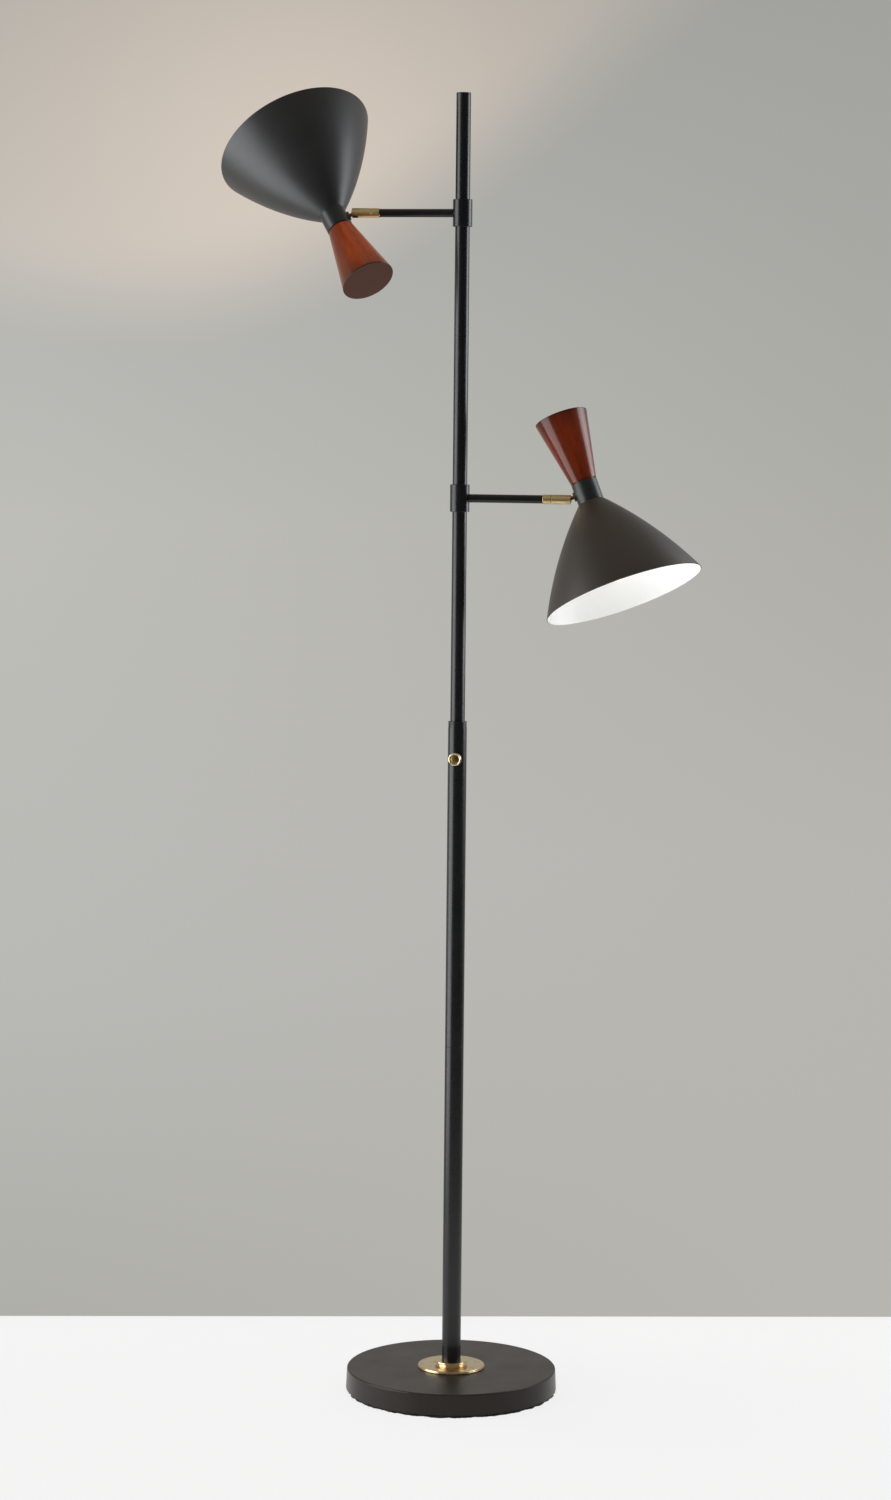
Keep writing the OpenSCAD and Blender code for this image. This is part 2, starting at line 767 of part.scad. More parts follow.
module shade_ring() {
    bore = socket_r + slip;
    top = shade_top - shade_wall - 0.05;
    color(socket_black) translate([head_offset, 0, 0]) turned([
        [bore, top], [bore + 0.7, top], [bore + 2.6, top - 2.6],
        [bore + 2.6, top - ring_nut_h], [bore, top - ring_nut_h],
    ]);
}

module handle() {
    bottom = neck_h / 2;
    top = bottom + handle_l;
    r = handle_wide_d / 2;
    narrow_r = neck_r - handle_step;
    e = handle_edge_r;
    color(red_wood) translate([head_offset, 0, 0]) turned(concat(
        [[rod_r + 0.1, bottom], [narrow_r - 0.5, bottom], [narrow_r, bottom + 0.5]],
        round_pts(r - e, top - e, e, 0, 90, 5),
        [[0, top], [0, bottom + rod_in_handle + 1], [rod_r + 0.1, bottom + rod_in_handle + 1]]
    ));
}

module handle_rod() {
    bottom = socket_top - rod_in_socket + 0.1;
    color(steel) translate([head_offset, 0, bottom])
        cylinder(r = rod_r, h = neck_h / 2 + rod_in_handle - bottom);
}

module lamp_socket() {
    color(socket_black) translate([head_offset, 0, 0]) difference() {
        turned([
            [0, socket_floor], [socket_bore_r, socket_floor], [socket_bore_r, socket_end],
            [socket_r, socket_end], [socket_r, socket_top - 1], [socket_r - 1, socket_top],
            [0, socket_top],
        ]);
        translate([0, 0, socket_top - rod_in_socket]) cylinder(r = rod_r + slip, h = 2 * rod_in_socket);
    }
}

module socket_screw_shell() {
    color(shell_metal) translate([head_offset, 0, 0])
        pipe(screw_shell_r + screw_shell_t, screw_shell_r, cap_end + 2,
            socket_floor - 1 - cap_end - 2);
}

module socket_contact() {
    color(brass) translate([head_offset, 0, socket_floor - contact_t])
        cylinder(r = 5, h = contact_t);
}

module bulb_cap() {
    r = cap_d / 2;
    color(shell_metal) translate([head_offset, 0, 0]) turned([
        [0, cap_end], [r, cap_end], [r, cap_tip - 3.4], [r - 2, cap_tip - 2],
        [4.6, cap_tip - 1], [4.2, cap_tip], [0, cap_tip],
    ]);
}

// Outline of the glass, inset for its inside: a neck that swells and meets a
// ball without a kink, at the angle join_a above the ball's widest place
function bulb_pts(inset) =
    let (r = bulb_d / 2 - inset, cz = cap_end - bulb_l + bulb_d / 2, join_a = 25,
         neck = cap_d / 2 - 0.3 - inset, swell = r * cos(join_a) - neck,
         drop = cap_end - cz - r * sin(join_a), slope = tan(join_a) * drop / swell, n = 8)
    concat(
        [for (i = [0:n])
            let (t = i / n, s = 3 * pow(t, 2) - 2 * pow(t, 3) + slope * (pow(t, 3) - pow(t, 2)))
            [neck + swell * s, cap_end - drop * t]],
        [for (i = [1:12])
            let (t = join_a - (90 + join_a) * i / 12) [max(r * cos(t), 0), cz + r * sin(t)]]
    );

module bulb_glass() {
    outer = bulb_pts(0);
    inner = bulb_pts(glass_wall);
    color(opal) translate([head_offset, 0, 0]) turned(concat(
        outer,
        [for (i = [len(inner) - 1:-1:0]) inner[i]]
    ));
}

// ---------------------------------------------------------------- placing

// A piece of a head by its name, in its arm's frame, with the barrel turned
// and the head tilted
module head_piece(piece, turn, tilt) {
    rotate([turn, 0, 0]) {
        if (piece == "swivel_barrel") swivel_barrel();
        if (piece == "ball_spring") ball_spring();
        translate([ball_x, 0, 0]) rotate([0, -tilt, 0]) {
            if (piece == "ball_and_stem") ball_and_stem();
            if (piece == "stem_washer") stem_washer();
            if (piece == "stem_nut") stem_nut();
            if (piece == "neck") neck();
            if (piece == "shade") shade();
            if (piece == "shade_ring") shade_ring();
            if (piece == "handle") handle();
            if (piece == "handle_rod") handle_rod();
            if (piece == "lamp_socket") lamp_socket();
            if (piece == "socket_screw_shell") socket_screw_shell();
            if (piece == "socket_contact") socket_contact();
            if (piece == "bulb_cap") bulb_cap();
            if (piece == "bulb_glass") bulb_glass();
        }
    }
}

base_pad();
base_weight();
base_cover();
base_rosette();
pole_flange();
tie_pipe();
tie_washer();
tie_nut();
foot_plug();
cord_grommet();
lower_tube();
tube_joint();
middle_tube();
step_piece();
upper_tube();
top_cap();
switch_body();
switch_nut();
switch_shaft();
switch_knob();
arm_nipples();
head_leads();
swivel_pins();
upper_collar();
upper_arm();
upper_swivel_ring();
lower_collar();
lower_arm();
lower_swivel_ring();
for (piece = HEAD_PIECES) {
    upper_arm_frame() head_piece(piece, upper_turn, upper_tilt);
    lower_arm_frame() head_piece(piece, lower_turn, lower_tilt);
}
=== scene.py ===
"""A two-headed standing lamp with cone shades, wooden handles and brass fittings.

Shapes are turned, bevelled and cut in millimetres and placed in metres, each in
the frame of the pole, the knob, an arm or a head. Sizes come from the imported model.
"""

import json
import math

import bmesh
import bpy
from mathutils import Matrix, Vector, noise


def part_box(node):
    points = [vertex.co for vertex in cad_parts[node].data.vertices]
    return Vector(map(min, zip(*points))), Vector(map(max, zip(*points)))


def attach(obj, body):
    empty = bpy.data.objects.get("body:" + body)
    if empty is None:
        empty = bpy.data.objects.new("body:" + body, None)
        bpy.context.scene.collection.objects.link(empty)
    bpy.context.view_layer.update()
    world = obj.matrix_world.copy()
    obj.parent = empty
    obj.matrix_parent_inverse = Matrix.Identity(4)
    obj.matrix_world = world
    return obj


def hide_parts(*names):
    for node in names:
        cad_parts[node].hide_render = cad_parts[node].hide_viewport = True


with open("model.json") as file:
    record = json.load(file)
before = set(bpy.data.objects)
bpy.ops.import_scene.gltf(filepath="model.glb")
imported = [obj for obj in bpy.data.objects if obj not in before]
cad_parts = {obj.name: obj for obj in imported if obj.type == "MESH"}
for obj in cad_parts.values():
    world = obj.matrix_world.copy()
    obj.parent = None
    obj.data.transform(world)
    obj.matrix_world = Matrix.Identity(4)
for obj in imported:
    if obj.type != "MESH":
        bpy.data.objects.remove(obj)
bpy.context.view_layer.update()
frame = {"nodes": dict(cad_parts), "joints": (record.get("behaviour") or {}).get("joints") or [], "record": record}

MM = 0.001
FULL_TURN = 2 * math.pi
JOINTS = {joint["name"]: joint for joint in frame["joints"]}
SIDES = ("upper", "lower")


# ------------------------------------------------------------------ camera
# The photograph's view: in front, a little from the right, above the middle.
# A lens shift stands in for most of the tilt, so that the pole stays upright.

SENSOR_WIDTH = 36.0
FOCAL_LENGTH = 86.03
VIEW_SHIFT = -0.20
NEAREST, FARTHEST = 0.05, 60
CAMERA_PLACE = (0.7848, -4.7028, 1.3093)
LOOKS_DOWN, SWINGS, LEANS = (math.radians(angle) for angle in (0.678, 9.710, 0.567))


def make_camera():
    data = bpy.data.cameras.new("camera")
    data.sensor_fit = "AUTO"
    data.sensor_width = SENSOR_WIDTH
    data.lens = FOCAL_LENGTH
    data.shift_y = VIEW_SHIFT
    data.clip_start = NEAREST
    data.clip_end = FARTHEST
    camera = bpy.data.objects.new("camera", data)
    bpy.context.scene.collection.objects.link(camera)
    level = Matrix.Rotation(SWINGS, 4, "Z") @ Matrix.Rotation(math.radians(90) - LOOKS_DOWN, 4, "X")
    camera.matrix_world = Matrix.Translation(CAMERA_PLACE) @ level @ Matrix.Rotation(LEANS, 4, "Z")
    bpy.context.scene.camera = camera


# -------------------------------------------------------------- frames and sizes
# A frame's z is the line that its pieces are turned about.


def frame_of(origin, x, y, z):
    """The matrix of a frame from its origin in metres and its three directions."""
    matrix = Matrix((x, y, z)).transposed().to_4x4()
    matrix.translation = origin
    return matrix


POLE = Matrix.Identity(4)


def arm_line(side):
    """The frame whose z runs out along an arm from the pole's middle."""
    joint = JOINTS[f"{side}_barrel_turn"]
    out = Vector(joint["axis"])
    height = joint["pos_m"][2]
    front = Vector((0, -1, 0))
    return frame_of((0, 0, height), front, out.cross(front), out)


def middle_of(node):
    low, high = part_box(node)
    return (low + high) / 2


def head_line(side):
    """The frame of a head: z along its middle towards the handle, x away from its
    ball, and z = 0 level with the ball."""
    joint = JOINTS[f"{side}_head_tilt"]
    ball = Vector(joint["pos_m"])
    rod = middle_of(f"{side}_handle_rod")
    z = (rod - middle_of(f"{side}_socket_contact")).normalized()
    y = -Vector(joint["axis"]).normalized()
    x = y.cross(z)
    return frame_of(rod + z * (ball - rod).dot(z), x, y, z)


def knob_line():
    """The frame whose z runs forwards through the knob from the pole's middle."""
    joint = JOINTS["knob_turn"]
    out = Vector(joint["axis"])
    side = Vector((1, 0, 0))
    return frame_of((0, 0, joint["pos_m"][2]), side, out.cross(side), out)


ARM = {side: arm_line(side) for side in SIDES}
HEAD = {side: head_line(side) for side in SIDES}
KNOB = knob_line()


class Reach:
    """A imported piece's radii about a frame's z, and its lowest and highest z, in mm."""

    def __init__(self, node, place):
        back = place.inverted()
        points = [back @ vertex.co / MM for vertex in frame["nodes"][node].data.vertices]
        radii = [point.xy.length for point in points]
        heights = [point.z for point in points]
        self.bore, self.radius = min(radii), max(radii)
        self.low, self.high = min(heights), max(heights)
        self.height = self.high - self.low


# ------------------------------------------------------------------ finishes
# A Mix node's colour sockets share their names with those for numbers, so they
# go by their places in the node.

MIX_FIRST, MIX_SECOND, MIX_RESULT = 6, 7, 2


class Value:
    """What a node gives, such as a number that changes over the surface. Python's
    operators on it add the Math nodes."""

    def __init__(self, nodes, socket):
        self.nodes = nodes
        self.socket = socket

    def combine(self, operation, first, second):
        return self.nodes.node("ShaderNodeMath", {"operation": operation}, {0: first, 1: second})

    def __add__(self, other):
        return self.combine("ADD", self, other)

    def __radd__(self, other):
        return self.combine("ADD", other, self)

    def __sub__(self, other):
        return self.combine("SUBTRACT", self, other)

    def __rsub__(self, other):
        return self.combine("SUBTRACT", other, self)

    def __mul__(self, other):
        return self.combine("MULTIPLY", self, other)

    def __rmul__(self, other):
        return self.combine("MULTIPLY", other, self)

    def __pow__(self, other):
        return self.combine("POWER", self, other)

    def __gt__(self, other):
        return self.combine("GREATER_THAN", self, other)


class Nodes:
    """The nodes of a material or of the world, and the means to add to them."""

    def __init__(self, tree):
        self.tree = tree

    def feed(self, socket, value):
        if isinstance(value, Value):
            self.tree.links.new(value.socket, socket)
        elif hasattr(value, "__len__") and len(value) == 3 and socket.type == "RGBA":
            socket.default_value = (*value, 1.0)
        else:
            socket.default_value = value

    def node(self, kind, settings, inputs, output=0):
        """Adds a node: its settings first, then its sockets, and returns an output."""
        node = self.tree.nodes.new(kind)
        for name, setting in settings.items():
            if name == "stops":
                ramp = node.color_ramp.elements
                while len(ramp) < len(setting):
                    ramp.new(0.5)
                for element, (position, colour) in zip(ramp, setting):
                    element.position = position
                    element.color = (*colour, 1.0)
            else:
                setattr(node, name, setting)
        for name, value in inputs.items():
            self.feed(node.inputs[name], value)
        return Value(self, node.outputs[output])

    def place(self, matrix=None, stretch=(1, 1, 1)):
        """Positions on the piece in metres, seen in a frame and stretched."""
        position = self.node("ShaderNodeTexCoord", {}, {}, "Object")
        if matrix is not None:
            turned = {"Location": matrix.translation, "Rotation": matrix.to_euler()}
            position = self.node("ShaderNodeMapping", {"vector_type": "TEXTURE"}, {0: position, **turned})
        if stretch != (1, 1, 1):
            position = self.node("ShaderNodeMapping", {}, {0: position, "Scale": stretch})
        return position

    def split(self, position):
        return [self.node("ShaderNodeSeparateXYZ", {}, {0: position}, i) for i in range(3)]

    def join(self, x, y, z):
        return self.node("ShaderNodeCombineXYZ", {}, {0: x, 1: y, 2: z})

    def noise(self, position, size, detail=2.0, roughness=0.5, distortion=0.0):
        """Soft noise from 0 to 1 with features of about that size in mm."""
        values = {
            "Vector": position,
            "Scale": 1 / (size * MM),
            "Detail": detail,
            "Roughness": roughness,
            "Distortion": distortion,
        }
        return self.node("ShaderNodeTexNoise", {}, values)

    def ramp(self, value, *stops):
        return self.node("ShaderNodeValToRGB", {"stops": stops}, {0: value})

    def between(self, value, low, high, out_low=0.0, out_high=1.0):
        """Maps low to high on to two other numbers, without leaving them."""
        values = {"Value": value, 1: low, 2: high, 3: out_low, 4: out_high}
        return self.node("ShaderNodeMapRange", {"clamp": True}, values)

    def mix(self, factor, first, second, blend="MIX"):
        """A colour between two, or the two blended in another way."""
        settings = {"data_type": "RGBA", "blend_type": blend}
        values = {0: factor, MIX_FIRST: first, MIX_SECOND: second}
        return self.node("ShaderNodeMix", settings, values, MIX_RESULT)


class Finish(Nodes):
    """One material with its shader."""

    def __init__(self, name, **shader_values):
        self.material = bpy.data.materials.new(name)
        self.material.use_nodes = True
        super().__init__(self.material.node_tree)
        self.tree.nodes.clear()
        self.shader = self.tree.nodes.new("ShaderNodeBsdfPrincipled")
        self.output = self.tree.nodes.new("ShaderNodeOutputMaterial")
        self.tree.links.new(self.shader.outputs[0], self.output.inputs["Surface"])
        for name, value in shader_values.items():
            self.set(name.replace("_", " ").title().replace("Ior", "IOR"), value)

    def set(self, name, value):
        """Sets one of the shader's own values, or feeds it."""
        self.feed(self.shader.inputs[name], value)

    def bump(self, height, depth, strength, under=None):
        """Raises the surface by up to depth, in mm, on top of the relief under it."""
        values = {"Height": height, "Distance": depth * MM, "Strength": strength}
        if under is not None:
            values["Normal"] = under
        relief = self.node("ShaderNodeBump", {}, values)
        self.set("Normal", relief)
        return relief


def grey(value):
    return (value, value, value)


def toned(colour, share):
    """A colour made darker or lighter, as a share of itself."""
    return [c * share for c in colour]


def enamel(name, colour, roughness, grain=0.5, dust=0.0, gloss=0.5, relief=0.5):
    """Sprayed satin paint: a fine even grain, faint cloudiness and, unless dust is
    None, a few specks."""
    paint = Finish(name, specular_ior_level=gloss)
    position = paint.place()
    clouds = paint.noise(position, 38, 3)
    fine = paint.noise(position, grain, 2)
    shaded = paint.mix(clouds, toned(colour, 0.86), toned(colour, 1.14))
    if dust is not None:
        specks = paint.noise(position, 1.6, 0) > 0.82 - dust
        shaded = paint.mix(specks * 0.15, shaded, [c * 3 + 0.03 for c in colour])
    paint.set("Base Color", shaded)
    sheen = paint.between(clouds, 0.3, 0.7, roughness - 0.035, roughness + 0.035)
    paint.set("Roughness", sheen + fine * 0.04)
    soft = paint.bump(clouds, 0.05, 0.12)
    paint.bump(fine, 0.02, relief, under=soft)
    return paint.material


def turning_marks(finish, place):
    """Fine rings about a frame's z, as a lathe leaves them, from 0 to 1."""
    pitch = 0.35
    strays = 0.25
    position = finish.place(place)
    x, y, z = finish.split(position)
    radius = (x * x + y * y) ** 0.5
    wander = finish.noise(position, 9, 1) * (strays * MM)
    return finish.noise(finish.join(radius + wander, 0.0, z + wander), pitch, 2, 0.7)


def turned_brass(name, place, colour, roughness):
    """Lacquered antique brass with turning marks and soft patches of brown tarnish."""
    brass = Finish(name, metallic=1.0)
    rings = turning_marks(brass, place)
    aged = brass.between(brass.noise(brass.place(), 9, 3), 0.45, 0.8)
    bright = brass.mix(brass.between(rings, 0.35, 0.7), toned(colour, 0.88), colour)
    brass.set("Base Color", brass.mix(aged * 0.3, bright, (0.30, 0.18, 0.07)))
    brass.set("Roughness", roughness + rings * 0.08 + aged * 0.08)
    brass.bump(rings, 0.006, 0.5)
    return brass.material


def knob_metal_with_painted_light():
    """The knob's brass: a polished rim painted pale, a painted highlight, about a face
    painted dark brown, a painted dark reflection.
    """
    face_edge = 6.0
    fade = 0.3
    brass = Finish("knob_brass_painted_light", metallic=1.0)
    x, y, _ = brass.split(brass.place(KNOB))
    rim = brass.between((x * x + y * y) ** 0.5, (face_edge - fade) * MM, (face_edge + fade) * MM)
    rings = turning_marks(brass, KNOB)
    clouds = brass.noise(brass.place(), 3, 2)
    # Painted light: the dark brown face stands for the dark it reflects, and the pale rim for a highlight.
    face = brass.mix(clouds, (0.25, 0.14, 0.03), (0.38, 0.22, 0.06))
    brass.set("Base Color", brass.mix(rim, face, (1.0, 0.87, 0.62)))
    brass.set("Roughness", brass.between(rim, 0.0, 1.0, 0.30, 0.18) + rings * 0.06)
    brass.bump(rings, 0.006, 0.5)
    return brass.material


def stained_wood(name, place, end, tint_and_light):
    """Red-brown stained beech under satin lacquer. Its grain runs along the handle's
    z, with short dark flecks. Towards the sawn end, at height end, the side darkens
    with painted shade, darkest in a band at its edge; the end shows rings and pores."""
    wood = Finish(name, specular_ior_level=0.08, coat_weight=0.5, coat_roughness=0.16)
    position = wood.place(place)
    x, y, z = wood.split(position)
    bend = wood.noise(wood.place(place, (1, 1, 0.25)), 40, 2)
    across = wood.join(x + bend * 0.006, y, z * 0.05)
    streaks = wood.noise(across, 2.2, 4, 0.62)
    bands = wood.noise(across, 11, 2)
    flecks = wood.between(wood.noise(wood.join(x, y, z * 0.10), 0.55, 1), 0.62, 0.75)
    on_end = z > (end - 1.1) * MM
    pith = 0.05
    rings = wood.noise(wood.join((x * x + (y + pith) ** 2.0) ** 0.5, 0.0, 0.0), 1.5, 2, 0.6)
    pores = wood.between(wood.noise(position, 0.5, 1), 0.6, 0.7)
    stains = (0.290, 0.040, 0.0040), (0.215, 0.026, 0.0020), (0.130, 0.014, 0.0012)
    light, middle, dark = ([c * share for c, share in zip(stain, tint_and_light)] for stain in stains)
    side = wood.ramp(streaks * 0.4 + bands * 0.6, (0.30, dark), (0.50, middle), (0.70, light))
    side = wood.mix(flecks * 0.3, side, (0.035, 0.008, 0.005))
    # Painted shade: the side darkens towards the sawn end, with a darker band at its edge.
    painted_end_shade = wood.between(z, (end - 30) * MM, (end - 2) * MM, 0.0, 0.45)
    painted_end_shade = painted_end_shade + wood.between(z, (end - 3) * MM, (end - 1.5) * MM, 0.0, 0.4)
    side = wood.mix(painted_end_shade, side, (0.030, 0.008, 0.004))
    face = wood.ramp(rings, (0.35, (0.042, 0.011, 0.006)), (0.65, (0.088, 0.024, 0.012)))
    face = wood.mix(pores * 0.5, face, (0.02, 0.008, 0.006))
    wood.set("Base Color", wood.mix(on_end, side, face))
    wood.set("Roughness", 0.30 + streaks * 0.1 + on_end * 0.05)
    soft = wood.bump(streaks, 0.05, 0.25)
    wood.bump(1.0 - flecks, 0.03, 0.25, under=soft)
    return wood.material


def black_felt():
    """Stiff black felt: matted fibres, and a little pale lint."""
    felt = Finish("black_felt", roughness=0.95, sheen_weight=0.15, sheen_roughness=0.6)
    position = felt.place()
    fibres = felt.noise(felt.place(None, (1, 1, 2.5)), 0.7, 4, 0.75, 1.5)
    clumps = felt.noise(position, 4, 3)
    lint = felt.noise(position, 1.1, 1) > 0.70
    cloth = felt.mix(fibres, grey(0.003), (0.020, 0.019, 0.019))
    felt.set("Base Color", felt.mix(lint * 0.8, cloth, (0.30, 0.28, 0.25)))
    soft = felt.bump(clumps, 0.6, 0.5)
    felt.bump(fibres, 0.35, 0.9, under=soft)
    return felt.material


def white_enamel(name, painted_glow):
    """The white paint inside a shade. It glows with its own colour: a painted glow,
    even all over, for the light that the bulb throws about in the shade.
    """
    paint = Finish(name, roughness=0.5, emission_strength=painted_glow)
    position = paint.place()
    clouds = paint.noise(position, 30, 2)
    shades = (0.80, 0.80, 0.79), (0.87, 0.87, 0.86)
    paint.set("Base Color", paint.mix(clouds, *shades))
    paint.set("Emission Color", paint.mix(clouds, *shades))
    paint.set("Roughness", 0.45 + clouds * 0.1)
    paint.bump(paint.noise(position, 0.5, 2), 0.02, 0.4)
    return paint.material


def opal_glass():
    """A frosted white bulb that is lit, with faint warm clouds."""
    glass = Finish("opal_glass", roughness=0.22, coat_weight=0.4, emission_strength=0.55)
    position = glass.place()
    frost = glass.noise(position, 0.8, 2)
    clouds = glass.noise(position, 22, 1)
    glass.set("Base Color", glass.mix(clouds, (0.86, 0.85, 0.82), (0.92, 0.91, 0.88)))
    glass.set("Emission Color", glass.mix(clouds, (1.0, 0.90, 0.76), (1.0, 0.94, 0.84)))
    glass.set("Roughness", 0.2 + frost * 0.1)
    glass.bump(frost, 0.01, 0.3)
    return glass.material


def moulded(name, colour, roughness=0.45):
    """Moulded plastic or rubber with a fine matt grain."""
    plastic = Finish(name, specular_ior_level=0.4)
    position = plastic.place()
    grain = plastic.noise(position, 0.4, 3)
    clouds = plastic.noise(position, 12, 2)
    plastic.set("Base Color", plastic.mix(clouds, toned(colour, 0.8), toned(colour, 1.2)))
    plastic.set("Roughness", roughness + grain * 0.15)
    plastic.bump(grain, 0.03, 0.5)
    return plastic.material


def plated_steel(name, colour, roughness=0.32):
    """Zinc plate or bare aluminium with scuffs along its length."""
    steel = Finish(name, metallic=1.0)
    scuffs = steel.noise(steel.place(None, (1, 1, 0.1)), 0.6, 3, 0.7)
    spangle = steel.noise(steel.place(), 4, 3)
    steel.set("Base Color", steel.mix(spangle, toned(colour, 0.75), colour))
    steel.set("Roughness", roughness + scuffs * 0.2)
    steel.bump(scuffs, 0.015, 0.4)
    return steel.material


def cast_iron():
    """Rough cast iron with patches of rust."""
    iron = Finish("cast_iron", metallic=0.6, roughness=0.7)
    position = iron.place()
    lumps = iron.noise(position, 3, 5, 0.65)
    rust = iron.between(iron.noise(position, 18, 4), 0.55, 0.7)
    iron.set("Base Color", iron.mix(rust * 0.5, grey(0.12), (0.16, 0.07, 0.035)))
    iron.set("Roughness", 0.55 + lumps * 0.3)
    iron.bump(lumps, 0.5, 0.8)
    return iron.material


# The two heads differ a little, as in the photograph.

# Painted light: the two shades' blacks and the two handles' tints differ for the different light on each head, on
# one paint and one stain.
SHADE_BLACK_AND_LIGHT = {"upper": (0.0215, 0.0206, 0.0204), "lower": (0.0230, 0.0170, 0.0115)}
SHADE_GLOSS = {"upper": 0.54, "lower": 0.50}
# Painted glow: the white paint inside each shade gives off light of its own, for the bulb's light on it.
SHADE_PAINTED_GLOW = {"upper": 0.1, "lower": 0.18}
WOOD_TINT_AND_LIGHT = {"upper": (1.3, 1.6, 1.0), "lower": (1.05, 0.95, 0.8)}


def make_finishes():
    """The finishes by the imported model's slots, and those that each side has of its own."""
    paint = {
        "base_black": enamel(
            "base_black_paint", (0.022, 0.0165, 0.0125), 0.32, grain=0.7, dust=0.04, gloss=0.28,
        ),
        "pole_black": enamel(
            "pole_black_paint", (0.006, 0.006, 0.0062), 0.26, dust=None, gloss=0.4, relief=0.12,
        ),
        "neck_black": enamel("neck_black_paint", (0.010, 0.0105, 0.011), 0.34, gloss=0.42),
        "pad_felt": black_felt(),
        "weight_iron": cast_iron(),
        "brass": turned_brass("pole_brass", POLE, (0.80, 0.63, 0.38), 0.16),
        "knob_brass": knob_metal_with_painted_light(),
        "zinc_steel": plated_steel("zinc_plate", (0.58, 0.58, 0.60)),
        "grommet_rubber": moulded("black_rubber", grey(0.022), 0.65),
        "lead_rubber": moulded("lead_covering", grey(0.035), 0.6),
        "switch_plastic": moulded("switch_moulding", grey(0.04)),
        "socket_plastic": moulded("socket_moulding", (0.03, 0.029, 0.028), 0.35),
        "shell_aluminium": plated_steel("bare_aluminium", (0.82, 0.82, 0.80), 0.25),
        "bulb_glass": opal_glass(),
    }
    for side in SIDES:
        paint[f"{side}_shade_black"] = enamel(
            f"{side}_shade_paint", SHADE_BLACK_AND_LIGHT[side], 0.41, grain=0.6, gloss=SHADE_GLOSS[side],
        )
        paint[f"{side}_white"] = white_enamel(f"{side}_white_enamel", SHADE_PAINTED_GLOW[side])
        paint[f"{side}_brass"] = turned_brass(f"{side}_arm_brass", ARM[side], (0.93, 0.70, 0.34), 0.26)
        # Painted shade: the ball, stem and washer get a dark brass, for the shadow they sit in between the barrel
        # and the neck.
        paint[f"{side}_stem_brass"] = turned_brass(f"{side}_head_brass", HEAD[side], (0.20, 0.15, 0.08), 0.3)
        end = Reach(f"{side}_handle", HEAD[side]).high
        paint[f"{side}_red_wood"] = stained_wood(f"{side}_handle_wood", HEAD[side], end, WOOD_TINT_AND_LIGHT[side])
    return paint


SLOTS = {row["node"]: row["material_slot"] for row in frame["record"]["subparts"]}
BODIES = {node: body for body, nodes in frame["record"]["behaviour"]["bodies"].items() for node in nodes}
BRASS_IN_PAINTED_SHADE = ("ball_and_stem", "stem_washer")


def finish_of(node):
    """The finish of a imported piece: its slot's, or its own side's where the side has
    one."""
    side, _, piece = node.partition("_")
    slot = SLOTS[node]
    # The ball, stem and washer take the dark brass of painted shade.
    if piece in BRASS_IN_PAINTED_SHADE:
        return PAINT[f"{side}_stem_brass"]
    own = f"{side}_{slot}"
    return PAINT[own if own in PAINT else slot]


# ------------------------------------------------------------------ shaping
# Turned pieces go into one another with a fine gap all round, in mm.

SHARP_CORNER = math.radians(32)
BIG_ROUNDING = 0.9
FIT = 0.05


def outline_of(points, closed):
    """A bmesh outline in the x-z plane from (radius, height) or (radius, height,
    rounding) points in mm, with its corners rounded."""
    bm = bmesh.new()
    corners = [bm.verts.new((point[0], 0, point[1])) for point in points]
    for one, two in zip(corners, corners[1:]):
        bm.edges.new((one, two))
    if closed:
        bm.edges.new((corners[-1], corners[0]))
    rounded = [(corner, point[2]) for corner, point in zip(corners, points) if len(point) > 2]
    for corner, rounding in rounded:
        segments = 3 if rounding < BIG_ROUNDING else 6
        bmesh.ops.bevel(
            bm, geom=[corner], offset=rounding, offset_type="OFFSET", segments=segments,
            profile=0.5, affect="VERTICES", material=-1,
        )
    return bm


def spin_solid(points, steps, closed=True):
    """Turns an outline about z into a solid with its faces outwards."""
    bm = outline_of(points, closed)
    bmesh.ops.spin(
        bm, geom=bm.verts[:] + bm.edges[:], cent=(0, 0, 0), axis=(0, 0, 1), dvec=(0, 0, 0),
        angle=FULL_TURN, steps=steps, use_merge=True, use_duplicate=False,
    )
    bmesh.ops.remove_doubles(bm, verts=bm.verts, dist=1e-4)
    bmesh.ops.dissolve_degenerate(bm, edges=bm.edges, dist=1e-5)
    bmesh.ops.recalc_face_normals(bm, faces=bm.faces)
    return bm


def soften(bm):
    """Smooth shading, but for the sharp corners."""
    for face in bm.faces:
        face.smooth = True
    for edge in bm.edges:
        if len(edge.link_faces) == 2:
            edge.smooth = edge.calc_face_angle(0) < SHARP_CORNER


def finished(bm, name, place, node, materials=None):
    """Makes a shown piece of a bmesh in mm: puts it in its frame, gives it its
    finish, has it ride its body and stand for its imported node."""
    soften(bm)
    bm.transform(place @ Matrix.Scale(MM, 4))
    mesh = bpy.data.meshes.new(name)
    bm.to_mesh(mesh)
    bm.free()
    for material in materials or [finish_of(node)]:
        mesh.materials.append(material)
    piece = bpy.data.objects.new(name, mesh)
    bpy.context.scene.collection.objects.link(piece)
    weights = piece.modifiers.new("even shading", "WEIGHTED_NORMAL")
    weights.keep_sharp = True
    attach(piece, BODIES[node])
    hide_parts(node)
    return piece


def arc(start, end, bulge, count):
    """Points from start to end, in mm, on an arc that stands out by bulge."""
    (x0, z0), (x1, z1) = start, end
    chord = math.hypot(x1 - x0, z1 - z0)
    radius = (chord * chord / 4 + bulge * bulge) / (2 * bulge)
    across = ((x1 - x0) / chord, (z1 - z0) / chord)
    outwards = (across[1], -across[0])
    middle = ((x0 + x1) / 2, (z0 + z1) / 2)
    centre = [m - out * (radius - bulge) for m, out in zip(middle, outwards)]
    first = math.atan2(z0 - centre[1], x0 - centre[0])
    last = math.atan2(z1 - centre[1], x1 - centre[0])
    angles = [first + (last - first) * i / count for i in range(count + 1)]
    return [(centre[0] + radius * math.cos(a), centre[1] + radius * math.sin(a)) for a in angles]


# ------------------------------------------------------------------ the base


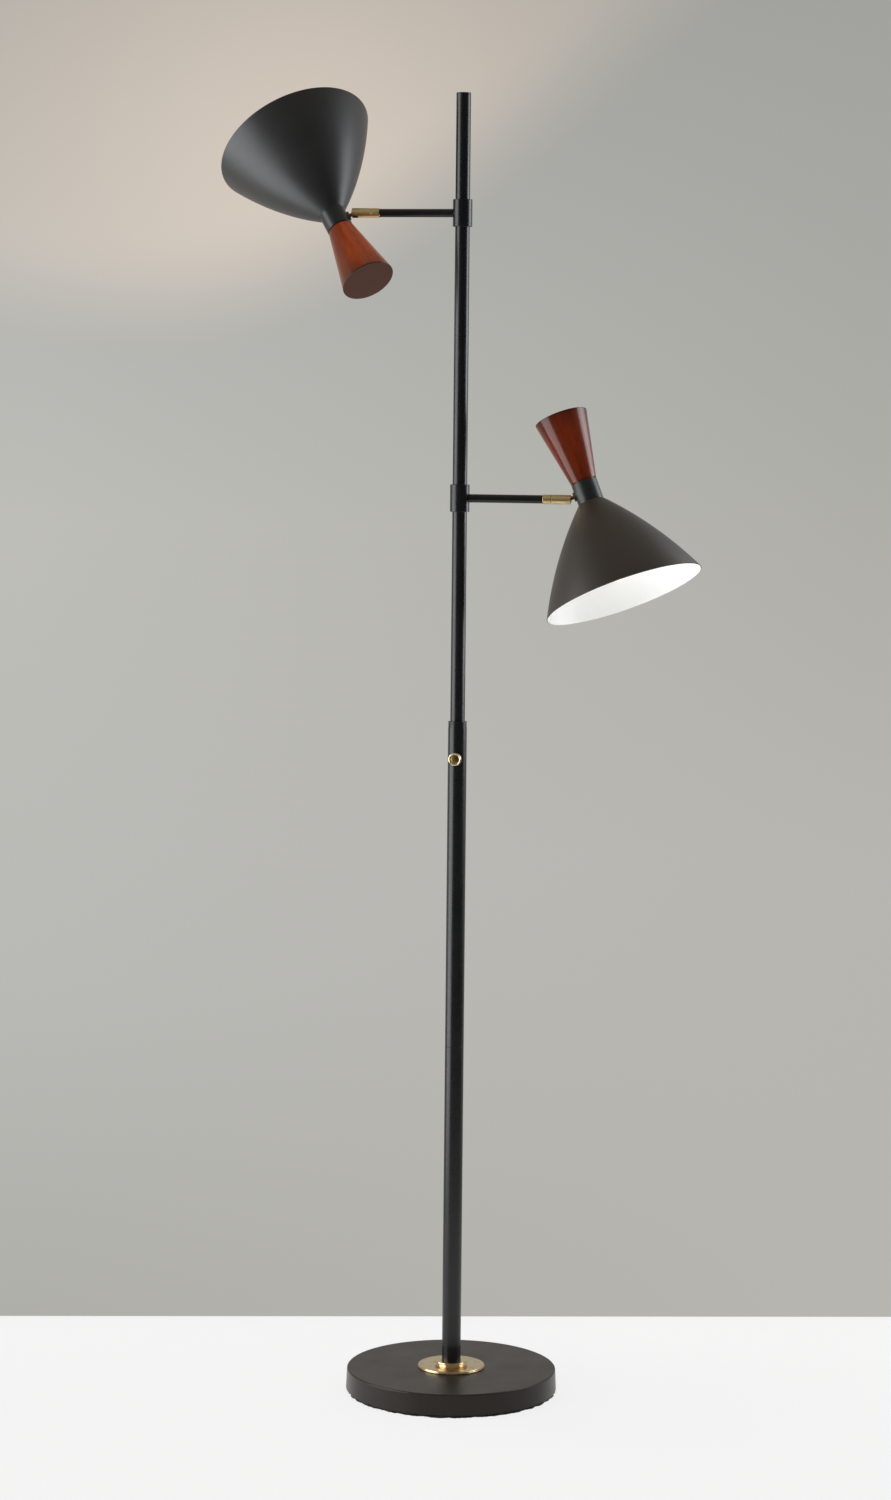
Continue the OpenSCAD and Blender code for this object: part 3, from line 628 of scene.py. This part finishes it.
def make_pad():
    """The felt pad. Its cut edge is ragged and stands out as far as the cover."""
    size = Reach("base_pad", POLE)
    cover = Reach("base_cover", POLE)
    rows, steps = 5, 540
    stands_out = 1.3
    side = [(size.radius, size.low + size.height * i / rows) for i in range(rows + 1)]
    bm = spin_solid([(0, size.low)] + side + [(0, size.high)], steps, closed=False)
    for vertex in bm.verts:
        if vertex.co.xy.length > size.radius - 1:
            around = Vector((vertex.co.x, vertex.co.y, vertex.co.z * 2))
            waves = 3.2 * noise.noise(around / 11)
            tufts = 2.2 * noise.noise(around / 2.4)
            fray = waves + tufts
            edge = size.radius + stands_out + fray - abs(vertex.co.z / size.high - 0.4)
            vertex.co.xy *= min(edge, cover.radius - 0.1) / size.radius
    finished(bm, "felt_pad", POLE, "base_pad")


COVER_DRAFT = 1.25
COVER_WALL = 1.5
COVER_EDGE = 2.0
INLET_BORE = 4.5


def loose_object(bm, name):
    """An object for a tool to work on, which isn't shown."""
    mesh = bpy.data.meshes.new(name)
    bm.to_mesh(mesh)
    bm.free()
    made = bpy.data.objects.new(name, mesh)
    bpy.context.scene.collection.objects.link(made)
    return made


def drilled(bm, line, radius, length):
    """Drills a round hole along a frame's z through a bmesh, all in mm."""
    bit = bmesh.new()
    bmesh.ops.create_cone(bit, cap_ends=True, segments=48, radius1=radius, radius2=radius, depth=length)
    bit.transform(line @ Matrix.Translation((0, 0, length / 2)))
    whole = loose_object(bm, "undrilled")
    bit = loose_object(bit, "drill")
    cut = whole.modifiers.new("hole", "BOOLEAN")
    cut.object = bit
    made = bmesh.new()
    made.from_object(whole, bpy.context.evaluated_depsgraph_get())
    for used in (whole, bit):
        bpy.data.objects.remove(used)
    return made


def make_cover():
    """The base's cover, with the hole for the cord at its back."""
    size = Reach("base_cover", POLE)
    inlet = [mount for mount in frame["record"]["mounts"] if mount["name"] == "cord_inlet"][0]
    height = Vector((0, 0, inlet["pos_m"][2] / MM))
    line = frame_of(height, Vector((1, 0, 0)), Vector((0, 0, -1)), Vector((0, 1, 0)))
    top = size.radius - COVER_DRAFT
    bm = spin_solid(
        [
            (size.bore, size.high), (top, size.high, COVER_EDGE), (size.radius, size.low, 0.3),
            (size.radius - COVER_WALL, size.low), (top - COVER_WALL, size.high - COVER_WALL, 0.5),
            (size.bore, size.high - COVER_WALL),
        ],
        192,
    )
    finished(drilled(bm, line, INLET_BORE, size.radius + 5), "enamelled_cover", POLE, "base_cover")


def make_rosette():
    """The brass plate with its two beaded edges, one a little inside the other."""
    size = Reach("base_rosette", POLE)
    bead = size.height * 0.56
    inner = size.radius - 0.5
    rim = inner - 2.2
    tube = Reach("lower_tube", POLE).radius
    bm = spin_solid(
        [
            (size.bore, size.low), (size.radius, size.low, 0.9), (size.radius, size.low + bead, 0.6),
            (inner - 0.3, size.low + bead, 0.15), (inner, size.low + bead + 0.3, 0.15),
            (inner, size.high, 0.85), (rim, size.high, 0.15), (rim - 0.35, size.high - 0.25, 0.12),
            (tube + 1, size.high - 0.25), (tube, size.high), (size.bore, size.high),
        ],
        160,
    )
    finished(bm, "brass_plate", POLE, "base_rosette")


def make_flange():
    """The spool-shaped brass flange around the foot of the pole."""
    size = Reach("pole_flange", POLE)
    waist = size.radius - 2.75
    foot = waist + 0.7
    under_lip = size.high - 2.3
    bm = spin_solid(
        [
            (size.bore + 1, size.low), (foot, size.low, 0.15), (foot, size.low + 0.6, 0.25),
            (waist, size.low + 1.3, 0.6), (waist, under_lip - 0.5, 0.8), (size.radius - 0.4, under_lip, 0.3),
            (size.radius, size.high - 1.8, 0.5), (size.radius, size.high, 0.9),
            (size.bore + 0.8, size.high, 0.2), (size.bore, size.high - 0.8, 0.2),
            (size.bore, size.low + 0.35),
        ],
        128,
    )
    finished(bm, "brass_flange", POLE, "pole_flange")


# ------------------------------------------------------------------ the pole


def make_joint_ring():
    """The ring that shows between the two lower tubes, with its spigots."""
    size = Reach("tube_joint", POLE)
    tube = Reach("lower_tube", POLE)
    above = Reach("middle_tube", POLE)
    spigot = tube.bore - FIT
    bm = spin_solid(
        [
            (size.bore, size.low), (spigot, size.low, 0.5), (spigot, tube.high),
            (size.radius, tube.high, 0.35), (size.radius, above.low, 0.35), (spigot, above.low),
            (spigot, size.high, 0.5), (size.bore, size.high),
        ],
        72,
    )
    finished(bm, "tube_joint_ring", POLE, "tube_joint")


def make_step():
    """The stepped piece on top of the thick tube: two beads with grooves."""
    size = Reach("step_piece", POLE)
    tube = Reach("middle_tube", POLE)
    thin = Reach("upper_tube", POLE)
    groove = 1.3
    bead = (size.high - tube.high - 2 * groove) / 2
    waist = size.radius - 1.0
    seat = thin.radius + FIT
    spigot = tube.bore - FIT
    first = tube.high + groove
    second = first + bead + groove
    bm = spin_solid(
        [
            (size.bore, size.low), (spigot, size.low, 0.4), (spigot, tube.high), (waist, tube.high),
            (waist, first, 0.1), (size.radius, first, 0.4), (size.radius, first + bead, 0.4),
            (waist, first + bead, 0.1), (waist, second, 0.1), (size.radius, second, 0.4),
            (size.radius, size.high, 0.7), (seat, size.high, 0.2), (seat, thin.low),
            (size.bore, thin.low),
        ],
        72,
    )
    finished(bm, "step_beads", POLE, "step_piece")


def make_top_cap():
    """The flat cap on the pole, with its plug in the thin tube."""
    size = Reach("top_cap", POLE)
    tube = Reach("upper_tube", POLE)
    plug = tube.bore - FIT
    bm = spin_solid(
        [
            (0, size.low), (plug, size.low, 0.5), (plug, tube.high), (size.radius, tube.high, 0.15),
            (size.radius, size.high, 0.6), (0, size.high),
        ],
        72, closed=False,
    )
    finished(bm, "pole_cap", POLE, "top_cap")


def make_knob():
    """The round knob: a polished round rim about a sunk face that swells in the
    middle."""
    size = Reach("switch_knob", KNOB)
    shaft = Reach("switch_shaft", KNOB)
    rim = size.radius - 2.4
    floor = size.high - 1.4
    swell = 1.15
    shares = [1 - i / 12 for i in range(1, 12)]
    face = [(rim * share, floor + swell * (1 - share ** 2)) for share in shares]
    bore = size.radius - 3.0
    bore_end = Reach("switch_nut", KNOB).high + 2.3
    shaft_hole = shaft.radius + 0.01
    bm = spin_solid(
        [
            (bore, size.low), (size.radius - 0.1, size.low, 0.3), (size.radius, size.low + 1.2),
            (size.radius, size.high, 1.18), (rim, size.high, 1.18), (rim, floor),
        ]
        + face
        + [
            (0, floor + swell), (0, shaft.high), (shaft_hole, shaft.high), (shaft_hole, bore_end),
            (bore, bore_end),
        ],
        96,
    )
    finished(bm, "brass_knob", KNOB, "switch_knob")


# ------------------------------------------------------------------ the arms


def make_arm_ring(side):
    """The brass ring at the end of an arm, with its spigot in the arm."""
    place = ARM[side]
    node = f"{side}_swivel_ring"
    size = Reach(node, place)
    tube = Reach(f"{side}_arm", place)
    spigot = tube.bore - FIT
    bm = spin_solid(
        [
            (size.bore, size.low), (spigot, size.low, 0.4), (spigot, tube.high),
            (size.radius, tube.high, 0.45), (size.radius, size.high, 0.4), (size.bore, size.high),
        ],
        72,
    )
    finished(bm, f"{side}_brass_ring", place, node)


def stem_line(side):
    """The frame whose z runs from a head's ball along its stem."""
    head = HEAD[side]
    ball = Vector(JOINTS[f"{side}_head_tilt"]["pos_m"])
    x, y, z = (head.col[i].to_3d() for i in range(3))
    return frame_of(ball, y, z, x)


def make_stem(side):
    """The ball with its stem."""
    place = stem_line(side)
    node = f"{side}_ball_and_stem"
    size = Reach(node, place)
    nut = Reach(f"{side}_stem_nut", place)
    ball = -size.low
    stem = nut.bore - FIT
    last = math.acos(stem / ball)
    steps = 24
    angles = [-math.pi / 2 + (last + math.pi / 2) * i / steps for i in range(steps + 1)]
    sphere = [(max(ball * math.cos(a), 0), ball * math.sin(a)) for a in angles]
    bm = spin_solid(sphere + [(stem, size.high, 0.4), (0, size.high)], 64, closed=False)
    finished(bm, f"{side}_ball_stem", place, node)


# ------------------------------------------------------------------ the heads

SHADE_WALL = 1.1
SHADE_BULGE = 6.2


def make_shade(side):
    """The cone shade: one thin wall, black outside and white inside."""
    place = HEAD[side]
    node = f"{side}_shade"
    size = Reach(node, place)
    neck = Reach(f"{side}_neck", place)
    side_line = arc((size.radius, size.low), (neck.radius, size.high), SHADE_BULGE, 44)
    inside = []
    for (x0, z0), (x1, z1) in zip(side_line, side_line[1:]):
        length = math.hypot(x1 - x0, z1 - z0)
        inside.append((x0 - (z1 - z0) / length * SHADE_WALL, z0 + (x1 - x0) / length * SHADE_WALL))
    top = size.high - SHADE_WALL
    inside = [point for point in inside if point[0] > size.bore and point[1] < top]
    points = side_line + [(size.bore, size.high), (size.bore, top)] + inside[::-1]
    bm = spin_solid(points, 160)
    for face in bm.faces:
        middle = face.calc_center_median()
        outwards = face.normal.dot(Vector((middle.x, middle.y, 0)).normalized())
        face.material_index = 1 if outwards < -0.3 and middle.z < top - 0.1 else 0
    materials = [finish_of(node), PAINT[f"{side}_white"]]
    finished(bm, f"{side}_cone_shade", place, node, materials=materials)


def make_handle(side):
    """The wooden handle: a cone that widens outwards, bored for its rod."""
    place = HEAD[side]
    node = f"{side}_handle"
    size = Reach(node, place)
    neck = Reach(f"{side}_neck", place)
    rod = Reach(f"{side}_handle_rod", place)
    bore = rod.radius + 0.1
    bore_end = rod.high + 1
    narrow = neck.radius - 0.3
    shoulder = size.low + 1.5
    points = [
        (bore, size.low), (narrow - 1.2, size.low), (narrow - 1.2, shoulder),
        (narrow + 0.25, shoulder, 0.3), (size.radius, size.high, 1.0), (0, size.high),
        (0, bore_end), (bore, bore_end),
    ]
    finished(spin_solid(points, 144), f"{side}_wooden_handle", place, node)


def make_socket(side):
    """The lamp socket, with the moulded thread that carries the shade's ring."""
    place = HEAD[side]
    node = f"{side}_lamp_socket"
    size = Reach(node, place)
    ring = Reach(f"{side}_shade_ring", place)
    shell = Reach(f"{side}_socket_screw_shell", place)
    contact = Reach(f"{side}_socket_contact", place)
    mouth = shell.radius + FIT
    pitch = 2.0
    root = size.radius - 0.6
    count = int((ring.low - 4 - size.low) / pitch)
    start = size.low + 3
    end = start + count * pitch
    thread = []
    for turn in range(count):
        thread.append((root, start + turn * pitch))
        thread += [(size.radius, start + turn * pitch + rise, 0.2) for rise in (0.7, 1.3)]
    points = (
        [(0, contact.high), (mouth, contact.high), (mouth, size.low, 0.4)]
        + [(size.radius, size.low, 0.5), (size.radius, start - 0.6, 0.2)]
        + thread
        + [(root, end), (size.radius, end + 0.6), (size.radius, size.high, 0.8), (0, size.high)]
    )
    finished(spin_solid(points, 96, closed=False), f"{side}_threaded_socket", place, node)


def make_shade_ring(side):
    """The ring nut that holds the shade up. Its ribs are two steps of every four."""
    place = HEAD[side]
    node = f"{side}_shade_ring"
    size = Reach(node, place)
    steps = 4 * 30
    flat = size.radius - 0.5
    bm = spin_solid(
        [
            (size.bore, size.low), (flat, size.low, 0.2), (flat, size.high - 2.4),
            (size.bore + 0.7, size.high), (size.bore, size.high),
        ],
        steps,
    )
    outer = []
    for face in bm.faces:
        middle = face.calc_center_median()
        around = round((math.atan2(middle.y, middle.x) / FULL_TURN % 1) * steps - 0.5)
        if middle.xy.length > flat - 0.1 and abs(face.normal.z) < 0.5 and around % 4 < 2:
            outer.append(face)
    raised = bmesh.ops.extrude_face_region(bm, geom=outer)
    tops = [item for item in raised["geom"] if isinstance(item, bmesh.types.BMVert)]
    bmesh.ops.delete(bm, geom=outer, context="FACES")
    for vertex in tops:
        vertex.co.xy *= size.radius / vertex.co.xy.length
    finished(bm, f"{side}_ribbed_ring", place, node)


def make_bulb(side):
    """The opal glass: a ball, and a neck that swells into it without a kink."""
    place = HEAD[side]
    node = f"{side}_bulb_glass"
    size = Reach(node, place)
    cap = Reach(f"{side}_bulb_cap", place)
    centre = size.low + size.radius
    join = math.radians(25)
    neck = cap.radius - 0.3
    swell = size.radius * math.cos(join) - neck
    drop = size.high - centre - size.radius * math.sin(join)
    slope = math.tan(join) * drop / swell
    neck_steps, ball_steps = 16, 24
    points = []
    for i in range(neck_steps + 1):
        t = i / neck_steps
        share = 3 * t ** 2 - 2 * t ** 3 + slope * (t ** 3 - t ** 2)
        points.append((neck + swell * share, size.high - drop * t))
    for i in range(1, ball_steps + 1):
        angle = join - (math.pi / 2 + join) * i / ball_steps
        points.append((max(size.radius * math.cos(angle), 0), centre + size.radius * math.sin(angle)))
    wall = 1.0
    floor = size.low + 1.2
    inner = [(x - wall, max(z, floor)) for x, z in points if x > 5] + [(0, floor)]
    bm = spin_solid(points + inner[::-1], 96, closed=False)
    piece = finished(bm, f"{side}_opal_bulb", place, node)
    piece.visible_shadow = False


# ------------------------------------------------------------------ the stage
# Directions are the wall's: to the right along it, and away towards it.

SWING = math.radians(11.7)
RIGHT = Vector((math.cos(SWING), math.sin(SWING), 0))
AWAY = Vector((-RIGHT.y, RIGHT.x, 0))
UP = Vector((0, 0, 1))
WALL_BEHIND = 0.382
WALL_GREY = (0.46, 0.46, 0.44)
WALL_PAINTED_GLOW = (0.245, 0.166, 0.112)
WALL_BRIGHT = (3.3, 3.5, 3.7)
FLOOR_WHITE = (0.938, 0.943, 0.952)
BLACK = grey(0.0)


def ray_kinds(nodes):
    """Whether what looks is the camera, a reflection or a glass, each 0 or 1."""
    paths = ("Is Camera Ray", "Is Glossy Ray", "Is Transmission Ray")
    return [nodes.node("ShaderNodeLightPath", {}, {}, path) for path in paths]


def stage_finish(finish, colour, takes_light):
    """Makes a matt finish for the stage, which shows only from its front. To the
    camera and in reflections it has its own colour, and a share takes light."""
    finish.set("Base Color", colour)
    camera, gloss, through = ray_kinds(finish)
    own = finish.node("ShaderNodeEmission", {}, {"Color": colour})
    matt = Value(finish, finish.shader.outputs[0])
    seen = (camera + gloss + through) * (1 - takes_light)
    front = finish.node("ShaderNodeMixShader", {}, {0: seen, 1: matt, 2: own})
    back = finish.node("ShaderNodeNewGeometry", {}, {}, "Backfacing")
    clear = finish.node("ShaderNodeBsdfTransparent", {}, {})
    either = finish.node("ShaderNodeMixShader", {}, {0: back, 1: front, 2: clear})
    finish.tree.links.new(either.socket, finish.output.inputs["Surface"])
    return finish.material


def wall_finish():
    """The grey wall. Its greys are painted light, darker towards the top and a little
    different from side to side. A soft warm glow of the upper lamp is painted on it,
    which opens upwards from a rounded edge and fades away from the shade. Reflections
    find a bright part of it beyond the picture's right edge: painted light, which only
    reflections see."""
    wall = Finish("wall_grey", roughness=1.0)
    place = frame_of((0, 0, 0), RIGHT, UP, -AWAY)
    across, height, _ = wall.split(wall.place(place))
    # Painted light: the greys fall off towards the top and differ from left to right.
    upwards = wall.between(height, 0.0, 1.9)
    sides = wall.between(across, -0.6, 0.6)
    left = wall.ramp(
        upwards, (0.0, (0.430, 0.427, 0.402)), (0.25, (0.487, 0.487, 0.462)),
        (0.60, (0.516, 0.513, 0.485)), (0.76, (0.470, 0.470, 0.446)), (1.0, (0.380, 0.380, 0.358)),
    )
    right = wall.ramp(
        upwards, (0.0, (0.468, 0.462, 0.434)), (0.35, (0.475, 0.465, 0.439)),
        (0.66, (0.420, 0.418, 0.392)), (1.0, (0.362, 0.362, 0.342)),
    )
    painted_falloff = wall.mix(sides, left, right)
    # Painted light: the warm glow of the upper lamp.
    middle_x, middle_z, lean = -0.22, 1.65, math.radians(15)
    x, z = across - middle_x, height - middle_z
    along = x * math.cos(lean) + z * math.sin(lean)
    over = z * math.cos(lean) - x * math.sin(lean)
    rounding = 0.17 * 0.17 * 0.6
    edge = (rounding + ((along + 0.13) * 0.5) ** 2.0) ** 0.5
    inside = wall.between(over + 0.27 - edge, -0.10, 0.10)
    soft = inside * inside * (3.0 - inside * 2.0)
    fade = (1.0 + (x * x + z * z) * 5.6) ** -1.0
    painted_glow = wall.mix(soft * fade, BLACK, WALL_PAINTED_GLOW)
    lit = wall.mix(1.0, painted_falloff, painted_glow, "ADD")
    # Painted light: a bright patch, seen only in reflections, stands in for a lamp on the right.
    beyond = wall.between(across, 0.62, 0.85) * wall.between(across, 2.4, 2.0)
    beyond = beyond * wall.between(height, 0.7, 1.0) * wall.between(height, 2.1, 1.7)
    bright = beyond * ray_kinds(wall)[1]
    return stage_finish(wall, wall.mix(bright, lit, WALL_BRIGHT), 0.0)


def floor_finish():
    """The white floor. All but the camera see it darken away from the lamp, as the
    unlit part of a studio does."""
    floor = Finish("floor_white", roughness=1.0)
    x, y, _ = floor.split(floor.place())
    reach = (x * x + y * y) ** 0.5
    shade = floor.between(reach, 0.9, 1.5, 0.0, 0.88) * (1 - ray_kinds(floor)[0])
    return stage_finish(floor, floor.mix(shade, FLOOR_WHITE, BLACK), 0.15)


def sheet(name, origin, along, across, length, width, material):
    """A flat sheet of the stage, whose front is along x across."""
    bm = bmesh.new()
    bmesh.ops.create_grid(bm, x_segments=1, y_segments=1, size=0.5)
    bm.transform(frame_of(origin, along * length, across * width, along.cross(across)))
    mesh = bpy.data.meshes.new(name)
    bm.to_mesh(mesh)
    bm.free()
    mesh.materials.append(material)
    made = bpy.data.objects.new(name, mesh)
    bpy.context.scene.collection.objects.link(made)
    return made


def make_stage():
    wall = sheet("backdrop", AWAY * WALL_BEHIND + UP * 4, RIGHT, UP, 16, 8, wall_finish())
    wall.visible_shadow = False
    sheet("floor", Vector((0, 0, 0)), RIGHT, AWAY, 60, 60, floor_finish())


def add_light(name, kind, place, power, colour, size, aim=None, in_reflections=True, on_matt=True):
    data = bpy.data.lights.new(name, kind)
    data.energy = power
    data.color = colour
    if kind == "AREA":
        data.shape = "RECTANGLE"
        data.size, data.size_y = size
    else:
        data.shadow_soft_size = size
    light = bpy.data.objects.new(name, data)
    bpy.context.scene.collection.objects.link(light)
    light.location = place
    if aim is not None:
        light.rotation_euler = (Vector(aim) - Vector(place)).to_track_quat("-Z", "Y").to_euler()
    light.visible_camera = False
    light.visible_glossy = in_reflections
    light.visible_diffuse = on_matt
    return light


def make_studio_light():
    """Two boxes that only the gloss shows, a large one leaning back on the left and a
    bluer one high on the right, and five that only light the surfaces, of which the
    last is the white floor's own light upwards."""
    left = RIGHT * -1.72 - AWAY * 0.3 + UP * 1.1
    right = RIGHT * 1.5 + AWAY * 0.3 + UP * 1.42
    front = RIGHT * -0.8 - AWAY * 3.2 + UP * 2.0
    tall, middling, broad = (1.7, 2.6), (1.2, 1.3), (2.5, 2.5)
    white = (1.0, 0.99, 0.97)
    add_light("left_box", "AREA", left, 62, (0.94, 0.975, 1.0), tall, UP * 1.5, on_matt=False)
    add_light("right_box", "AREA", right, 28, (0.90, 0.95, 1.0), middling, UP * 1.42, on_matt=False)
    add_light("left_fill", "AREA", left, 33, white, tall, UP * 1.5, in_reflections=False)
    add_light("right_fill", "AREA", right, 3, white, middling, UP * 1.2, in_reflections=False)
    add_light("front_fill", "AREA", front, 6, white, broad, UP * 1.0, in_reflections=False)
    add_light("top_fill", "AREA", UP * 7.0, 220, (1.0, 0.86, 0.70), broad, UP * 0, in_reflections=False)
    add_light("floor_fill", "AREA", UP * 0.06, 31, (0.95, 0.98, 1.0), broad, UP * 2, in_reflections=False)


ROOM_LOW = (0.09, 0.09, 0.093)
ROOM_HIGH = grey(0.26)


def make_room():
    """The dim room all around, which is a little brighter overhead. The camera sees
    the wall's grey there instead."""
    world = bpy.data.worlds.new("studio")
    world.use_nodes = True
    bpy.context.scene.world = world
    room = Nodes(world.node_tree)
    towards = room.node("ShaderNodeTexCoord", {}, {}, "Generated")
    rise = room.between(room.split(towards)[2], 0.15, 0.60)
    seen = room.mix(ray_kinds(room)[0], room.mix(rise, ROOM_LOW, ROOM_HIGH), WALL_GREY)
    room.feed(world.node_tree.nodes["Background"].inputs["Color"], seen)


def make_bulb_light():
    """The light of each bulb in its shade, which moves with its head."""
    for side in SIDES:
        glass = Reach(f"{side}_bulb_glass", HEAD[side])
        centre = HEAD[side] @ (Vector((0, 0, glass.low + glass.radius)) * MM)
        light = add_light(f"{side}_bulb_light", "POINT", centre, 0.03, (1.0, 0.98, 0.95), 0.02)
        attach(light, f"{side}_head")


# ------------------------------------------------------------------ all of it

make_camera()
PAINT = make_finishes()
make_pad()
make_cover()
make_rosette()
make_flange()
make_joint_ring()
make_step()
make_top_cap()
make_knob()
for side in SIDES:
    make_arm_ring(side)
    make_stem(side)
    make_shade(side)
    make_handle(side)
    make_socket(side)
    make_shade_ring(side)
    make_bulb(side)
for name, node in frame["nodes"].items():
    node.material_slots[0].material = finish_of(name)
make_stage()
make_bulb_light()
make_studio_light()
make_room()
bpy.context.scene.view_settings.view_transform = "Standard"
